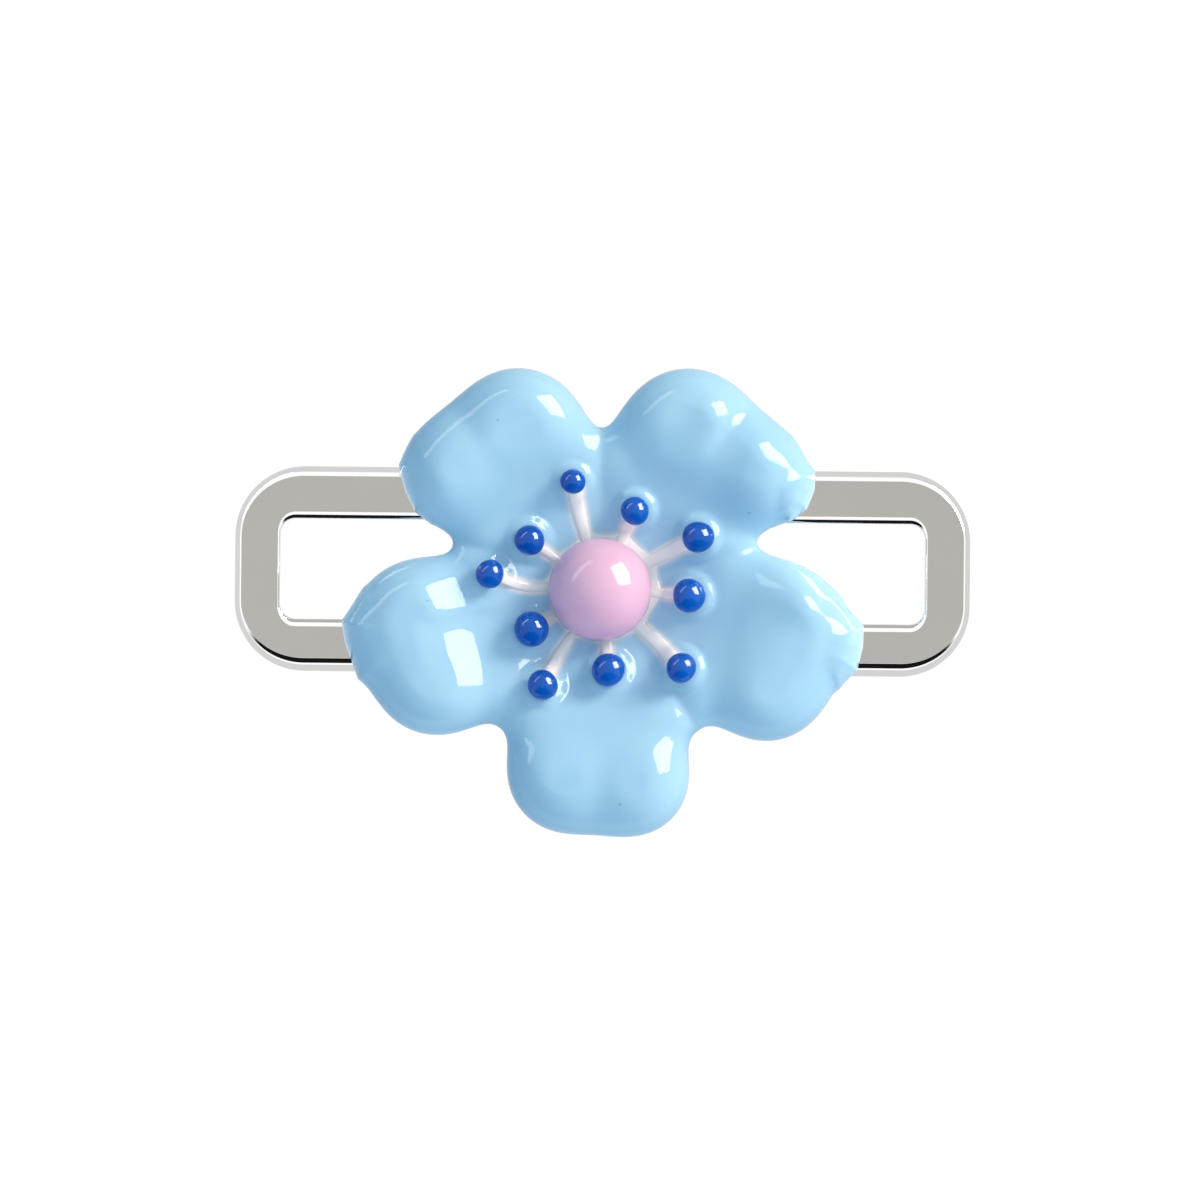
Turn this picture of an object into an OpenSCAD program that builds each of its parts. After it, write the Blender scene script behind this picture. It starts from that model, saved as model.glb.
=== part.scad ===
// Lace slide with an enamelled five-petal flower on a polished frame.
// Lies flat: +Z points out of the flower, +X runs along the frame,
// and the origin is the middle of the frame on its back face.

/* [Frame] */
// Length of the frame, along X
frame_l = 44; // [40:0.5:50]
// Width of the frame, along Y
frame_w = 12.26; // [12:0.1:14]
// Thickness of the frame
frame_t = 2; // [1.6:0.1:2.4]
// Radius of the frame's outer corners
corner_r = 4.2; // [3.5:0.1:5]
// Rounding of the frame's outer edges
edge_r = 0.5; // [0.3:0.05:0.7]
// Length of the window that the lace runs through
window_l = 38.6; // [36:0.1:39]
// Width of the window
window_w = 6; // [5:0.1:7]
// Radius of the window's corners
window_r = 0.95; // [0.7:0.05:1.5]
// Rounding of the window's edges
window_edge_r = 0.3; // [0.2:0.05:0.4]

/* [Flower] */
// Middle of the flower, across the frame
flower_x = -0.14; // [-1:0.01:1]
// Middle of the flower, up the frame
flower_y = -1.08; // [-1.5:0.01:0]
// Turn of the flower about its middle, in degrees
flower_turn = 0.6; // [-5:0.1:5]
// How gently the petals' lobes flow into each other
lobe_blend = 1.2; // [0.8:0.1:1.4]
// Thickness of the enamel coat
coat_t = 0.45; // [0.3:0.05:0.6]
// How far the enamel's lip turns under the petal's edge
lip_in = 0.5; // [0.3:0.05:0.7]
// Height of the petals' widest line above the frame's face
lip_h = 0.9; // [0.7:0.05:1.2]
// Width of the rolled rim of each petal
roll_w = 2.5; // [2.2:0.1:3]
// Height of the petals' crests above the frame's face
crest_h = 3.8; // [3:0.05:4.5]
// Height of the dish around the centre above the frame's face
dish_h = 1.3; // [1.2:0.05:1.6]
// Where the dish starts to rise
dish_r = 3; // [2:0.1:3.5]
// Where the petals reach their full height
crest_r = 11.6; // [10:0.1:12]
// Depth of the valleys between petals, as a share of the roll's width
valley_floor = 0.3; // [0.2:0.01:0.4]
// Height of the seat under the bead's post above the frame's face
seat_h = 0.75; // [0.6:0.05:0.9]
// Width over which the dish levels out towards the hub
seat_ease = 1.2; // [0.8:0.1:1.6]

/* [Centre] */
// Diameter of the lacquered centre bead, a ball with a flat base
bead_d = 6.14; // [5.8:0.02:6.2]
// Height of the bead's widest line above the frame's face
bead_h = 2; // [1.8:0.05:2.6]
// Diameter of the post that holds the bead
post_d = 1; // [0.8:0.1:1.2]
// How far the post reaches past the bead's widest line
post_in = 0.6; // [0.2:0.1:1.2]
// Gap between the post and the petals' surface round it
post_gap = 0.1; // [0.05:0.01:0.15]
// Diameter of the white hub under the bead
hub_d = 6.4; // [6.2:0.1:6.8]
// Thickness of the hub
hub_t = 0.5; // [0.3:0.05:0.6]
// Clearance between parts that fit together
fit_gap = 0.03; // [0.02:0.01:0.05]
// Space left at the end of each blind bore
bore_end = 0.05; // [0.03:0.01:0.1]

/* [Stamens] */
// Diameter of each stamen's wire
wire_d = 0.8; // [0.6:0.05:0.9]
// How far each wire enters its tip bead
wire_in = 0.4; // [0.3:0.05:0.5]
// Gap between a stamen's tip bead and the petal
tip_gap = 0.1; // [0.08:0.02:0.2]
// Height of each tip bead's middle over the petal, as a share of its diameter
tip_lift = 0.54; // [0.54:0.01:0.6]
// Gap between the hub and the start of each wire
wire_gap = 0.1; // [0.05:0.05:0.2]

/* [Solder] */
// Length of each solder seam
seam_l = 15; // [10:0.5:16]
// Leg of the solder fillet
seam_leg = 0.9; // [0.8:0.05:1]

/* [Hidden] */
$fn = 96;
// Directions in which the flower's outline is worked out
spokes = 104;
// Rings of the petals' surface inside the rolled rim
dish_rings = 7;
// How far a cutting shape runs past the face that it cuts
past = 0.5;

// Two round lobes to a petal, and the web that fills the top valley: direction, distance from
// the middle, and radius
lobes = [
    [280, 11.6, 3.1], [259, 11.3, 3.2],
    [346, 11.0, 4.1], [329.5, 11.6, 2.9],
    [60.5, 10.6, 3.9], [37, 11.5, 2.9],
    [140, 11.1, 3.1], [117, 10.6, 3.7],
    [207.5, 11.1, 3.4], [190, 11.2, 3.5],
    [89, 6.6, 0.3]
];
// Round middle that the lobes grow out of: its place and radius
core_at = [0.2, -1];
core_r = 8.5;
// Directions of the valleys between petals
valleys = [14, 89, 162, 233, 305];
// Stamens: direction and distance of the tip bead, and its diameter
stamens = [
    [104, 6.6, 1.5], [66, 5.1, 1.7], [28, 6.6, 1.9], [356, 5.3, 2.0], [316, 6.7, 1.8],
    [276, 4.8, 2.0], [239, 6.6, 1.8], [210, 4.7, 2.1], [172, 6.6, 1.7], [145, 5.1, 1.8]
];

face_z = frame_t;
lip_z = face_z + lip_h;
seat_z = face_z + seat_h;
bead_z = face_z + bead_h;
hub_z = seat_z + coat_t;
hub_top = hub_z + hub_t;
post_top = bead_z + post_in;
hole_r = post_d/2 + post_gap;
wire_start = hub_d/2 + wire_gap;
// How far in from the petal's edge each ring of the rolled rim lies
rim_steps = [0, 0.1, 0.45, 1.1, 2];
// Ring that rounds the lip: its share of the lip's turn inwards and of its height
lip_mid = [0.35, 0.3];

function lobe_at(l) = l[1]*[cos(l[0]), sin(l[0])];

function total(v) = v*[for (x = v) 1];

// Distance from a point to the flower's outline, positive inside: lobes and middle flow together
function rim_gap(p) =
    lobe_blend*ln(total([
        exp((core_r - norm(p - core_at))/lobe_blend),
        for (l = lobes) exp((l[2] - norm(p - lobe_at(l)))/lobe_blend)
    ]));

// Distance from the middle to the outline in direction a, by halving the interval
function outline_r(a, lo = 5, hi = 20, n = 20) =
    let (mid = (lo + hi)/2)
    n == 0 ? mid
    : rim_gap(mid*[cos(a), sin(a)]) > 0 ? outline_r(a, mid, hi, n - 1)
    : outline_r(a, lo, mid, n - 1);

outline = [for (i = [0:spokes - 1]) outline_r(i*360/spokes)];

// Distance from a point inside the flower to the nearest valley line
function valley_gap(p) =
    min([for (a = valleys)
        let (along = p*[cos(a), sin(a)], across = abs(p*[-sin(a), cos(a)]))
        along > 0 ? across : norm(p)]);

function ease(t) = let (u = max(0, min(1, t))) u*u*(3 - 2*u);

function round_over(t) = let (u = max(0, min(1, t))) sqrt(1 - (1 - u)*(1 - u));

// Height of the flower's surface, sunk by s below the enamel's outer skin
function petal_z(p, s) =
    let (crest = dish_h + (crest_h - dish_h)*ease((norm(p) - dish_r)/(crest_r - dish_r)),
         gap = min(rim_gap(p) - s, valley_floor*roll_w + valley_gap(p)),
         over = round_over(gap/roll_w),
         z = lip_z + (face_z + crest - s - lip_z)*over,
         flat = 1 - ease((norm(p) - hub_d/2)/seat_ease))
    z*(1 - flat) + (hub_z - s)*flat;

// Ring of points at d inside the outline; height undef follows the surface sunk by s
function ring(d, s, height = undef) =
    [for (i = [0:spokes - 1])
        let (a = i*360/spokes,
             r = outline[i] - d - s,
             p = r*[cos(a), sin(a)])
        [p.x, p.y, height == undef ? petal_z(p, s) : height]];

// Ring inside the rolled rim, t from 0 at the rim to 1 at the post's hole
function dish_ring(t, s) =
    [for (i = [0:spokes - 1])
        let (a = i*360/spokes,
             rim = outline[i] - rim_steps[len(rim_steps) - 1] - s,
             r = rim + (hole_r - rim)*t,
             p = r*[cos(a), sin(a)])
        [p.x, p.y, petal_z(p, s)]];

// Rings of one skin, from its lower edge over the rim to the hole in the middle
function skin(s) = concat(
    [ring(lip_in, s, face_z)],
    [ring(lip_in*lip_mid[0], s, face_z + lip_h*lip_mid[1])],
    [ring(0, s, lip_z)],
    [for (i = [1:len(rim_steps) - 1]) ring(rim_steps[i], s)],
    [for (i = [1:dish_rings]) dish_ring(i/dish_rings, s)]
);

// Triangles between ring k and ring k2
function band(k, k2) =
    [for (i = [0:spokes - 1])
        let (a = k*spokes + i, b = k*spokes + (i + 1)%spokes,
             c = k2*spokes + i, d = k2*spokes + (i + 1)%spokes)
        each [[a, c, b], [b, c, d]]];

// Triangles from ring k to the single point number m
function fan(k, m, up) =
    [for (i = [0:spokes - 1])
        let (a = k*spokes + i, b = k*spokes + (i + 1)%spokes)
        up ? [a, m, b] : [b, m, a]];

function flat_list(v) = [for (x = v) each x];

module on_flower() {
    translate([flower_x, flower_y, 0]) rotate([0, 0, flower_turn]) children();
}

module edge_profile(reach) {
    translate([0, edge_r]) square([reach, frame_t - 2*edge_r]);
    square([reach - edge_r, frame_t]);
    for (z = [edge_r, frame_t - edge_r]) {
        translate([reach - edge_r, z]) circle(edge_r);
    }
}

module frame_blank() {
    half_l = frame_l/2 - corner_r;
    half_w = frame_w/2 - corner_r;
    translate([-half_l, -half_w, 0]) cube([2*half_l, 2*half_w, frame_t]);
    for (turn = [0, 180]) {
        rotate([0, 0, turn]) {
            translate([half_l, half_w, 0]) rotate([90, 0, 0])
                linear_extrude(2*half_w) edge_profile(corner_r);
            translate([-half_l, half_w, 0]) rotate([90, 0, 90])
                linear_extrude(2*half_l) edge_profile(corner_r);
            translate([half_l, half_w, 0]) rotate_extrude(angle = 90) edge_profile(corner_r);
            translate([-half_l, half_w, 0]) rotate([0, 0, 90])
                rotate_extrude(angle = 90) edge_profile(corner_r);
        }
    }
}

// Widening of the window at one face, drawn from the corner's centre outwards
module flare_profile() {
    difference() {
        square([window_r + window_edge_r, window_edge_r + past]);
        translate([window_r + window_edge_r, 0]) circle(window_edge_r);
    }
}

module window_flare() {
    half_l = window_l/2 - window_r;
    half_w = window_w/2 - window_r;
    translate([-half_l, -half_w, 0]) cube([2*half_l, 2*half_w, window_edge_r + past]);
    for (turn = [0, 180]) {
        rotate([0, 0, turn]) {
            translate([half_l, half_w, 0]) rotate([90, 0, 0])
                linear_extrude(2*half_w) flare_profile();
            translate([-half_l, half_w, 0]) rotate([90, 0, 90])
                linear_extrude(2*half_l) flare_profile();
            translate([half_l, half_w, 0]) rotate_extrude(angle = 90) flare_profile();
            translate([-half_l, half_w, 0]) rotate([0, 0, 90])
                rotate_extrude(angle = 90) flare_profile();
        }
    }
}

module window_cut() {
    half_l = window_l/2 - window_r;
    half_w = window_w/2 - window_r;
    deep = frame_t + 2*past;
    translate([-half_l, -window_w/2, -past]) cube([2*half_l, window_w, deep]);
    translate([-window_l/2, -half_w, -past]) cube([window_l, 2*half_w, deep]);
    for (x = [-half_l, half_l], y = [-half_w, half_w]) {
        translate([x, y, -past]) cylinder(h = deep, r = window_r);
    }
}

module frame() {
    color("silver") difference() {
        frame_blank();
        window_cut();
        translate([0, 0, frame_t - window_edge_r]) window_flare();
        translate([0, 0, window_edge_r]) rotate([180, 0, 0]) window_flare();
    }
}

// Cast metal relief that carries the enamel, with a flat back
module petal_blank() {
    rings = skin(coat_t);
    n = len(rings);
    points = concat(flat_list(rings), [[0, 0, face_z], [0, 0, seat_z]]);
    faces = concat(
        fan(0, n*spokes, false),
        flat_list([for (k = [0:n - 2]) band(k, k + 1)]),
        fan(n - 1, n*spokes + 1, true)
    );
    color("darkgray") on_flower() polyhedron(points, faces);
}

// Coat over the blank: its outer skin, then the blank's own surface back again
module petal_enamel() {
    outer = skin(0);
    inner = skin(coat_t);
    n = len(outer);
    rings = concat(outer, [for (k = [n - 1:-1:0]) inner[k]]);
    faces = flat_list([for (k = [0:2*n - 1]) band(k, (k + 1)%(2*n))]);
    color("lightskyblue") on_flower() polyhedron(flat_list(rings), faces);
}

module bead_post() {
    color("silver") on_flower() translate([0, 0, seat_z])
        cylinder(h = post_top - seat_z, d = post_d);
}

module stamen_hub() {
    color("ghostwhite") on_flower() difference() {
        translate([0, 0, hub_z]) cylinder(h = hub_t, d = hub_d);
        translate([0, 0, hub_z - past]) cylinder(h = hub_t + 2*past, r = hole_r);
    }
}

module centre_bead() {
    color("plum") on_flower() difference() {
        translate([0, 0, bead_z]) sphere(d = bead_d);
        translate([0, 0, hub_top - bead_d]) cylinder(h = bead_d, d = bead_d + past);
        translate([0, 0, hub_top - past])
            cylinder(h = post_top + bore_end - hub_top + past, r = post_d/2 + fit_gap);
    }
}

function tip_at(s) =
    let (p = s[1]*[cos(s[0]), sin(s[0])])
    [p.x, p.y, petal_z(p, 0) + tip_lift*s[2] + tip_gap];

function root_at(s) =
    let (p = wire_start*[cos(s[0]), sin(s[0])])
    [p.x, p.y, petal_z(p, 0) + wire_d/2 + tip_gap];

// Draws its children along +Z from one point towards another
module towards(from, to) {
    v = to - from;
    translate(from) rotate([0, acos(v.z/norm(v)), atan2(v.y, v.x)]) children();
}

module filament(s) {
    root = root_at(s);
    tip = tip_at(s);
    color("white") on_flower() towards(root, tip)
        cylinder(h = norm(tip - root) - s[2]/2 + wire_in, d = wire_d);
}

module anther(s) {
    root = root_at(s);
    tip = tip_at(s);
    color("royalblue") on_flower() towards(tip, root) difference() {
        sphere(d = s[2]);
        translate([0, 0, s[2]/2 - wire_in - bore_end])
            cylinder(h = s[2], d = wire_d + 2*fit_gap);
    }
}

// Solder in the corner between a bar's rounded outer edge and the blank's back
module solder_seam() {
    edge = frame_w/2;
    rotate([90, 0, 90]) translate([0, 0, -seam_l/2]) linear_extrude(seam_l) difference() {
        translate([edge - edge_r, face_z - seam_leg]) square([edge_r + seam_leg, seam_leg]);
        translate([edge - edge_r, face_z - edge_r]) circle(edge_r);
        translate([0, face_z - 2*seam_leg]) square([edge, 2*seam_leg - edge_r]);
        translate([edge + seam_leg, face_z - seam_leg]) circle(seam_leg);
    }
}

module solder_upper() {
    color("gainsboro") solder_seam();
}

module solder_lower() {
    color("gainsboro") rotate([0, 0, 180]) solder_seam();
}

frame();
petal_blank();
petal_enamel();
bead_post();
stamen_hub();
centre_bead();
for (i = [1:10]) {
    filament(stamens[i - 1]);
    anther(stamens[i - 1]);
}
solder_upper();
solder_lower();
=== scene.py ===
"""Looks of the flower lace slide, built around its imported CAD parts.

Lengths are in millimetres until a mesh is made. The flower has its own axes: its middle is the
centre bead's, and it is turned by FLOWER_TURN about +Z.
"""

import math

import bpy
import numpy as np
from mathutils import Matrix, Vector


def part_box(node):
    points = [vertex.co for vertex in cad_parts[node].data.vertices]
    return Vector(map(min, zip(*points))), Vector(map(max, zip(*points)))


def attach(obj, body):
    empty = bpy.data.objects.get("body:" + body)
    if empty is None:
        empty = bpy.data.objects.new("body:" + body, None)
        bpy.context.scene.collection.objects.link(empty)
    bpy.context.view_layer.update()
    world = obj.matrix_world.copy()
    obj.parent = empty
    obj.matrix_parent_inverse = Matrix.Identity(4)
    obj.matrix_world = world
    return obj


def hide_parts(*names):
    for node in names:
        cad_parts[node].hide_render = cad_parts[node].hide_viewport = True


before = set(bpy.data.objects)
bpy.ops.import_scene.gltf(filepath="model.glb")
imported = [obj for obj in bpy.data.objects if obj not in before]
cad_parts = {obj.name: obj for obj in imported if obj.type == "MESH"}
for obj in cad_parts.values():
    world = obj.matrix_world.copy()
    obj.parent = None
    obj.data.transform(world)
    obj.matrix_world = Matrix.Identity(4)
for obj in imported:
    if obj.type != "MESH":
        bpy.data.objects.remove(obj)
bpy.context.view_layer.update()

MM = 0.001
FLOWER_TURN = math.radians(0.6)
STAMENS = range(1, 11)


def box_mm(node):
    """Lowest and highest corner of a CAD node in millimetres."""
    low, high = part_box(node)
    return np.array(low) / MM, np.array(high) / MM


FRAME_HIGH = box_mm("frame")[1]
BEAD_LOW, BEAD_HIGH = box_mm("centre_bead")
FLOWER_AT = (BEAD_LOW[:2] + BEAD_HIGH[:2]) / 2
BEAD_Z = BEAD_HIGH[2] - (BEAD_HIGH[0] - BEAD_LOW[0]) / 2
BEAD_R = (BEAD_HIGH[0] - BEAD_LOW[0]) / 2
BEAD_BASE = BEAD_LOW[2]
FACE_Z = FRAME_HIGH[2]


# ---------------------------------------------------------------- small maths


def ease(t):
    """0 to 1 with level ends, for t from 0 to 1."""
    u = np.clip(t, 0, 1)
    return u * u * (3 - 2 * u)


def smooth_min(a, b, k):
    """The lesser of a and b, with the corner between them rounded over about k."""
    h = np.clip(0.5 + 0.5 * (b - a) / k, 0, 1)
    return b + (a - b) * h - k * h * (1 - h)


def to_flower(x, y):
    """Row axes to flower axes."""
    c, s = math.cos(FLOWER_TURN), math.sin(FLOWER_TURN)
    dx, dy = x - FLOWER_AT[0], y - FLOWER_AT[1]
    return c * dx + s * dy, -s * dx + c * dy


def from_flower(x, y):
    """Flower axes to row axes."""
    c, s = math.cos(FLOWER_TURN), math.sin(FLOWER_TURN)
    return FLOWER_AT[0] + c * x - s * y, FLOWER_AT[1] + s * x + c * y


def polar(degrees, reach):
    """Flower axes of a place given by its direction and distance from the middle."""
    a = math.radians(degrees)
    return reach * math.cos(a), reach * math.sin(a)


# ---------------------------------------------------------------- mesh making


def mesh_object(name, verts_mm, faces, smooth=True):
    """An object in the scene from millimetre points and faces."""
    mesh = bpy.data.meshes.new(name)
    mesh.from_pydata((np.asarray(verts_mm, float) * MM).tolist(), [], faces)
    mesh.validate()
    if smooth:
        mesh.polygons.foreach_set("use_smooth", [True] * len(mesh.polygons))
    mesh.update()
    obj = bpy.data.objects.new(name, mesh)
    bpy.context.scene.collection.objects.link(obj)
    return obj


def ring_faces(rings, spokes, closed=False):
    """Quads between neighbouring rings of points, all with the same number of spokes."""
    faces = []
    last = rings if closed else rings - 1
    for k in range(last):
        a, b = k * spokes, ((k + 1) % rings) * spokes
        for i in range(spokes):
            j = (i + 1) % spokes
            faces.append((a + i, b + i, b + j, a + j))
    return faces


def lathe(name, radii, heights, spokes=96, wobble=None):
    """A closed turned solid about +Z from the origin; radii start and end at 0.

    wobble gives a factor on the radius for each angle.
    """
    verts = [(0, 0, heights[0])]
    for r, z in zip(radii[1:-1], heights[1:-1]):
        for i in range(spokes):
            a = 2 * math.pi * i / spokes
            q = r if wobble is None else r * wobble(a)
            verts.append((q * math.cos(a), q * math.sin(a), z))
    verts.append((0, 0, heights[-1]))
    top = len(verts) - 1
    rings = len(radii) - 2
    faces = [(0, 1 + (i + 1) % spokes, 1 + i) for i in range(spokes)]
    for k in range(rings - 1):
        a, b = 1 + k * spokes, 1 + (k + 1) * spokes
        for i in range(spokes):
            j = (i + 1) % spokes
            faces.append((a + i, a + j, b + j, b + i))
    a = 1 + (rings - 1) * spokes
    faces += [(a + i, a + (i + 1) % spokes, top) for i in range(spokes)]
    return mesh_object(name, verts, faces)


# ---------------------------------------------------------------- flower outline

# Two round lobes to a petal, and the web that fills the top valley: direction, distance from
# the middle, and radius. The petals' lobes and the core are those of part.scad, where they came
# out of a least-squares fit to the photo's outline.
LOBES = [
    (280, 11.6, 3.1), (259, 11.3, 3.2),
    (346, 11.0, 4.1), (329.5, 11.6, 2.9),
    (60.5, 10.6, 3.9), (37, 11.5, 2.9),
    (140, 11.1, 3.1), (117, 10.6, 3.7),
    (207.5, 11.1, 3.4), (190, 11.2, 3.5),
    (89, 6.6, 0.3),
]
# How softly the lobes run into each other, and the round core under all of them
LOBE_BLEND = 1.2
CORE_AT = (0.2, -1.0)
CORE_R = 8.5
# Directions of the valleys between the petals
VALLEYS = (14, 89.5, 162, 233, 305)

# Patches where lacquer has wetted out along a bar, each a convex shape: the second to fourth
# corners run across the bar, the last two lie well inside the petal
FLARES = [
    [
        (-10.9, 8.9), (-11.92, 7.45), (-11.5, 6.1), (-10.9, 4.7),
        (-10, 4.2), (-7.5, 5.2), (-7.5, 8.4),
    ],
    [
        (-14, -0.1), (-15.42, -1.85), (-15.2, -3.2), (-14.4, -5.3),
        (-13.2, -6), (-10, -5.4), (-10, -1),
    ],
    [
        (11.3, 8.85), (12.88, 6.95), (12.8, 5.9), (12.35, 4.8),
        (11.2, 3.95), (8, 5.2), (8, 8),
    ],
    [
        (13.9, -0.3), (15.74, -2.2), (15.7, -3.4), (15.35, -4.8),
        (14.2, -5.8), (10.5, -5.2), (10.5, -1.2),
    ],
]
# How softly a flare runs into its petal, how deep inside it depth stops counting, and how far
# round its tip the lacquer lies flat
FLARE_BLEND = 0.25
FLARE_DEPTH = 3.0
WET_REACH = 1.7
# The outline is looked for along this many rays, between these two distances
RAYS, HALVINGS = 6000, 30
RAY_START, RAY_END = 5.0, 20.0


def lobe_gap(x, y):
    """Distance to the petals' own outline, positive inside."""
    total = np.exp((CORE_R - np.hypot(x - CORE_AT[0], y - CORE_AT[1])) / LOBE_BLEND)
    for degrees, reach, radius in LOBES:
        cx, cy = polar(degrees, reach)
        total = total + np.exp((radius - np.hypot(x - cx, y - cy)) / LOBE_BLEND)
    return LOBE_BLEND * np.log(total)


def flare_gap(x, y, corners):
    """Distance to a convex patch's nearest side, positive inside."""
    middle = np.mean(corners, axis=0)
    best = np.full(np.shape(x), FLARE_DEPTH)
    for (ax, ay), (bx, by) in zip(corners, corners[1:] + corners[:1]):
        normal = np.array([ay - by, bx - ax]) / math.hypot(bx - ax, by - ay)
        normal = normal * np.sign(np.dot(middle - [ax, ay], normal))
        best = np.minimum(best, (x - ax) * normal[0] + (y - ay) * normal[1])
    return best


def outline_gap(x, y):
    """Distance to the lacquer's whole outline with its flares, positive inside."""
    total = np.exp(lobe_gap(x, y) / FLARE_BLEND)
    for corners in FLARES:
        total = total + np.exp(flare_gap(x, y, corners) / FLARE_BLEND)
    return FLARE_BLEND * np.log(total)


def wetness(x, y):
    """1 where the lacquer runs out onto a bar, 0 where the petal's edge is free."""
    wet = np.zeros(np.shape(x))
    for corners in FLARES:
        mx, my = (np.array(corners[1]) + np.array(corners[2]) + np.array(corners[3])) / 3
        wet = wet + np.exp(-((np.hypot(x - mx, y - my) / WET_REACH) ** 4))
    return np.minimum(wet, 1)


def outline_points(count):
    """Points evenly spaced along the outline, found by halving along rays from the middle."""
    a = np.linspace(0, 2 * math.pi, RAYS + 1)[:-1]
    low, high = np.full_like(a, RAY_START), np.full_like(a, RAY_END)
    for _ in range(HALVINGS):
        mid = (low + high) / 2
        inside = outline_gap(mid * np.cos(a), mid * np.sin(a)) > 0
        low, high = np.where(inside, mid, low), np.where(inside, high, mid)
    x, y = low * np.cos(a), low * np.sin(a)
    step = np.hypot(np.diff(x, append=x[:1]), np.diff(y, append=y[:1]))
    run = np.concatenate([[0], np.cumsum(step)])
    want = np.linspace(0, run[-1], count + 1)[:-1]
    px = np.interp(want, run, np.append(x, x[0]))
    py = np.interp(want, run, np.append(y, y[0]))
    return px, py


# ---------------------------------------------------------------- flower relief

# Heights of the petals' lips, of the thin lacquer on a bar, and of the petals' crests and middle
LIP_Z = FACE_Z + 0.9
FILM_Z = FACE_Z + 0.06
CREST_Z = FACE_Z + 3.8
DISH_Z = FACE_Z + 1.3
# Distances from the middle where the dish starts to rise and where it reaches the crests
DISH_START, DISH_END = 3.0, 11.6
# Width of the roll along a petal's edge, how much of it a valley keeps, and the valleys' rounding
ROLL_W = 2.5
VALLEY_SHARE = 0.30
VALLEY_ROUND = 0.3
VALLEY_BLEND = 1.0
# How far the lip turns in under a petal's edge, and the coat's thickness
LIP_IN = 0.55
COAT = 0.45
# Soft creases at the petals' outer ends: direction, where it starts, depth and width
CREASES = [(51, 9.5, 0.24, 0.6), (129, 10.5, 0.12, 0.8), (269, 11.0, 0.08, 1.2)]
CREASE_RISE = 2.5
# A low step in the lacquer across the left petal: direction, where it starts, height and width;
# then its length, the run of its ends and how far it fades to each side
STEP = (190.5, 5.3, -0.15, 0.4)
STEP_LEN, STEP_RUN, STEP_FADE = 4.6, 1.5, 2.5
# Lacquer drawn up round each tip bead: how high, by stamen
MOUNDS = {1: 0.28, 2: 0.45, 3: 0.42, 4: 0.45, 5: 0.38, 6: 0.35, 7: 0.33, 8: 0.25, 9: 0.2, 10: 0.42}
# How far past the bead a mound reaches, and how steeply it falls
MOUND_PAST, MOUND_FALL = 0.42, 7
# Fuller and hollower spots in the lacquer on the petals: x, y, height and reach
SWELLS = [
    (12.2, -0.8, 0.45, 1.5), (9.3, 8.3, 0.3, 1.2),
    (6.6, 10.5, 0.3, 1.2), (-7.2, -3.9, -0.2, 1.6),
]
# How far in from a petal's own edge a flare still lifts the relief, and mounds still fade
FLARE_REACH = 1.7
EDGE_FADE = 1.5

anthers = {}
for i in STAMENS:
    low, high = box_mm(f"anther_{i}")
    mid = (low + high) / 2
    fx, fy = to_flower(mid[0], mid[1])
    anthers[i] = {"x": fx, "y": fy, "z": mid[2], "r": float((high - low).max() / 2)}


def valley_gap(x, y):
    """Distance to the nearest line between two petals, rounded off along the line itself."""
    best = np.full(np.shape(x), np.inf)
    for degrees in VALLEYS:
        ux, uy = polar(degrees, 1)
        across = -x * uy + y * ux
        off = np.where(x * ux + y * uy > 0, np.abs(across), np.hypot(x, y))
        best = np.minimum(best, np.sqrt(off * off + VALLEY_ROUND**2) - VALLEY_ROUND)
    return best


def creases(x, y):
    """Depth of the soft creases at the petals' outer ends and of the left petal's step."""
    dip = np.zeros(np.shape(x))
    for degrees, start, depth, width in CREASES:
        ux, uy = polar(degrees, 1)
        along, across = x * ux + y * uy, -x * uy + y * ux
        dip = dip + depth * np.exp(-((across / width) ** 2)) * ease((along - start) / CREASE_RISE)
    degrees, start, height, width = STEP
    ux, uy = polar(degrees, 1)
    along, across = x * ux + y * uy, -x * uy + y * ux
    span = ease((along - start) / STEP_RUN) * (1 - ease((along - start - STEP_LEN) / STEP_RUN))
    return dip - height * np.tanh(across / width) * np.exp(-((across / STEP_FADE) ** 2)) * span


def mounds(x, y):
    """Lacquer drawn up round each tip bead."""
    rise = np.zeros(np.shape(x))
    for i, a in anthers.items():
        far = np.hypot(x - a["x"], y - a["y"])
        rise = np.maximum(rise, MOUNDS[i] * np.exp(-((far / (a["r"] + MOUND_PAST)) ** MOUND_FALL)))
    return rise


def swells(x, y):
    """Rise at the fuller and hollower spots."""
    rise = np.zeros(np.shape(x))
    for cx, cy, height, reach in SWELLS:
        rise = rise + height * np.exp(-(np.hypot(x - cx, y - cy) / reach) ** 2)
    return rise


def relief(x, y):
    """Height of the lacquer's surface."""
    petal, wet = lobe_gap(x, y), wetness(x, y)
    gap = petal + (outline_gap(x, y) - petal) * (1 - ease(petal / FLARE_REACH))
    body = smooth_min(gap, VALLEY_SHARE * ROLL_W + valley_gap(x, y), VALLEY_BLEND)
    t = np.clip(body / ROLL_W, 0, 1)
    free = np.sqrt(np.maximum(0, 1 - (1 - t) ** 2))
    edge = LIP_Z * (1 - wet) + FILM_Z * wet
    far = np.hypot(x, y)
    top = DISH_Z + (CREST_Z - DISH_Z) * ease((far - DISH_START) / (DISH_END - DISH_START))
    z = edge + (top - creases(x, y) - edge) * free
    return z + (mounds(x, y) + swells(x, y)) * ease(gap / EDGE_FADE)


# On a bar the lacquer reaches this far below the face's height, and its lip turns in by this
# share of LIP_IN
WET_UNDER, WET_LIP = 0.4, 0.2
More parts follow.
